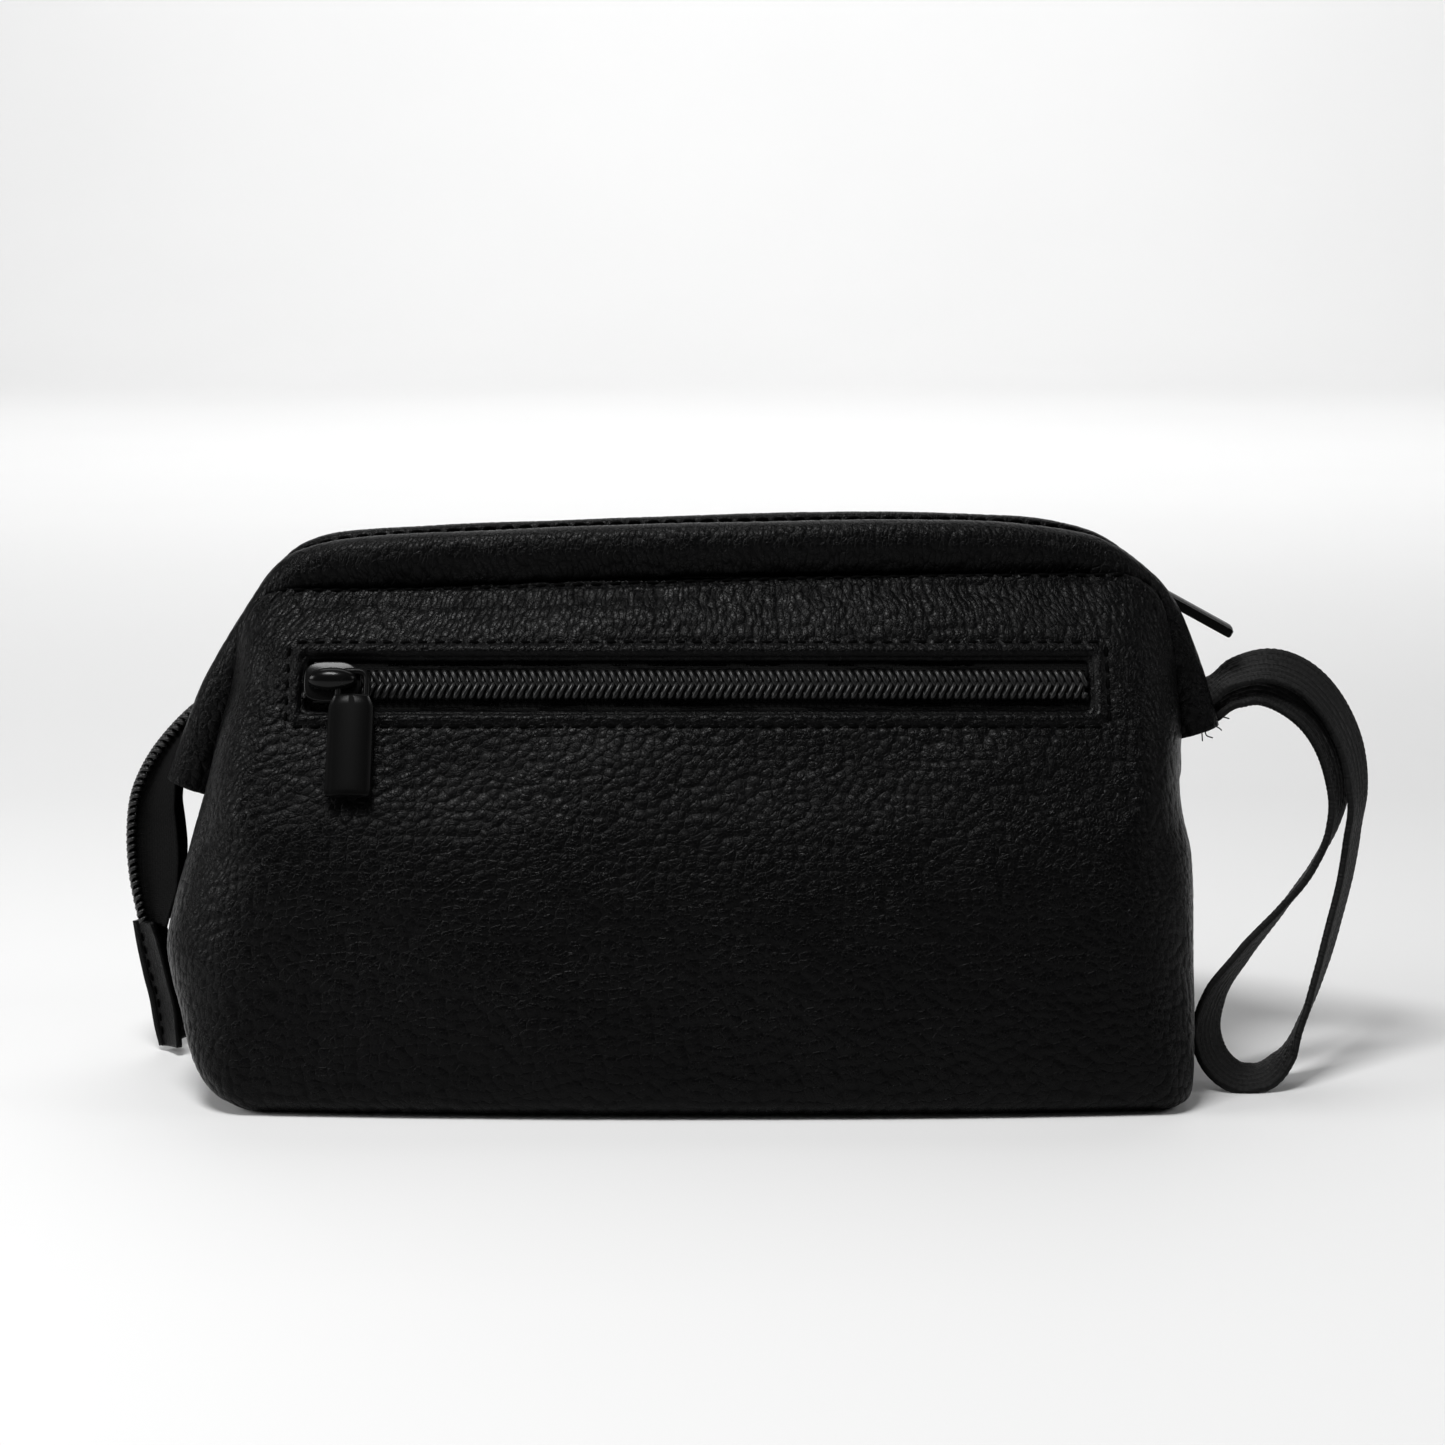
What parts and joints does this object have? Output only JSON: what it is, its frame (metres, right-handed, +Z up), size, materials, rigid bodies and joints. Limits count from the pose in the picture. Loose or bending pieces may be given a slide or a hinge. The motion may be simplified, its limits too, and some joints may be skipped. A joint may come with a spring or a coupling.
{
  "type": "makeup bag",
  "caption": "Soft pebbled-leather makeup bag with a hinged wire-framed zip mouth, a zipped front pocket and a looped wrist strap.",
  "frame": {"origin": "middle of the underside of the base", "axes": "+X along the bag towards the wrist strap, -Y out of the front with the pocket, +Z up"},
  "size_m": [0.3146, 0.113, 0.1365],
  "materials": {
    "pebbled_leather": "pebbled, satin",
    "smooth_leather": "smooth, satin",
    "lining_cloth": "plain woven, matt",
    "zip_tape": "woven, matt",
    "zip_coil": "satin nylon",
    "zip_metal": "black, semi-gloss",
    "steel_wire": "drawn",
    "rivet_brass": "aged",
    "base_board": "plain",
    "strap_webbing": "woven, ribbed"
  },
  "bodies": {
    "bag_body": {"front_lower_panel": "pebbled_leather", "back_lower_panel": "pebbled_leather", "left_gusset": "pebbled_leather", "right_gusset": "pebbled_leather", "base_panel": "pebbled_leather", "base_board": "base_board", "lower_lining": "lining_cloth", "hinge_tab_left": "pebbled_leather", "hinge_tab_right": "pebbled_leather", "hinge_rivet_left": "rivet_brass", "hinge_rivet_right": "rivet_brass", "strap_anchor": "strap_webbing", "tail_root": "zip_tape"},
    "front_mouth": {"front_upper_panel": "pebbled_leather", "front_upper_lining": "lining_cloth", "front_sleeve": "pebbled_leather", "front_frame_wire": "steel_wire", "front_zip_coil": "zip_coil", "front_zip_tape": "zip_tape", "pocket_coil_upper": "zip_coil", "pocket_coil_lower": "zip_coil", "pocket_tape_upper": "zip_tape", "pocket_tape_lower": "zip_tape", "pocket_welt": "smooth_leather", "pocket_pouch": "lining_cloth"},
    "back_mouth": {"back_upper_panel": "pebbled_leather", "back_upper_lining": "lining_cloth", "back_sleeve": "pebbled_leather", "back_frame_wire": "steel_wire", "back_zip_coil": "zip_coil", "back_zip_tape": "zip_tape"},
    "main_slider": {"main_slider": "zip_metal"},
    "main_puller": {"main_puller": "zip_metal"},
    "pocket_slider": {"pocket_slider": "zip_metal"},
    "pocket_puller": {"pocket_puller": "zip_metal"},
    "wrist_strap": {"wrist_strap": "strap_webbing"},
    "zip_tail": {"tail_coil": "zip_coil", "tail_tape": "zip_tape", "tail_tab": "smooth_leather"}
  },
  "joints": [
    {"name": "front_mouth_swing", "type": "hinge", "parent": "bag_body", "child": "front_mouth", "pos_m": [-0.0035, 0, 0.072], "axis": [1, 0, 0], "range_deg": [0, 45], "deforming": ["front_zip_coil", "front_zip_tape"]},
    {"name": "back_mouth_swing", "type": "hinge", "parent": "bag_body", "child": "back_mouth", "pos_m": [-0.0035, 0, 0.072], "axis": [-1, 0, 0], "range_deg": [0, 45], "deforming": ["back_zip_coil", "back_zip_tape"]},
    {"name": "main_slider_slide", "type": "slide", "parent": "front_mouth", "child": "main_slider", "axis": [-1, 0, 0], "range_m": [0, 0.19]},
    {"name": "main_puller_flip", "type": "hinge", "parent": "main_slider", "child": "main_puller", "pos_m": [0.1024, 0, 0.12435], "axis": [0, -1, 0], "range_deg": [0, 150]},
    {"name": "pocket_slider_slide", "type": "slide", "parent": "front_mouth", "child": "pocket_slider", "axis": [1, 0, 0], "range_m": [0, 0.17], "deforming": ["pocket_coil_upper", "pocket_coil_lower", "pocket_tape_upper", "pocket_tape_lower"]},
    {"name": "pocket_puller_swing", "type": "hinge", "parent": "pocket_slider", "child": "pocket_puller", "pos_m": [-0.0866, -0.03175, 0.101], "axis": [0, -0.8638, 0.5039], "range_deg": [-15, 65]},
    {"name": "wrist_strap_swing", "type": "hinge", "parent": "bag_body", "child": "wrist_strap", "pos_m": [0.1245, -0.001, 0.0925], "axis": [-0.8192, -0.5736, 0], "range_deg": [0, 75]},
    {"name": "zip_tail_swing", "type": "hinge", "parent": "bag_body", "child": "zip_tail", "pos_m": [-0.1285, 0, 0.091], "axis": [0, 1, 0], "range_deg": [0, 80]}
  ]
}
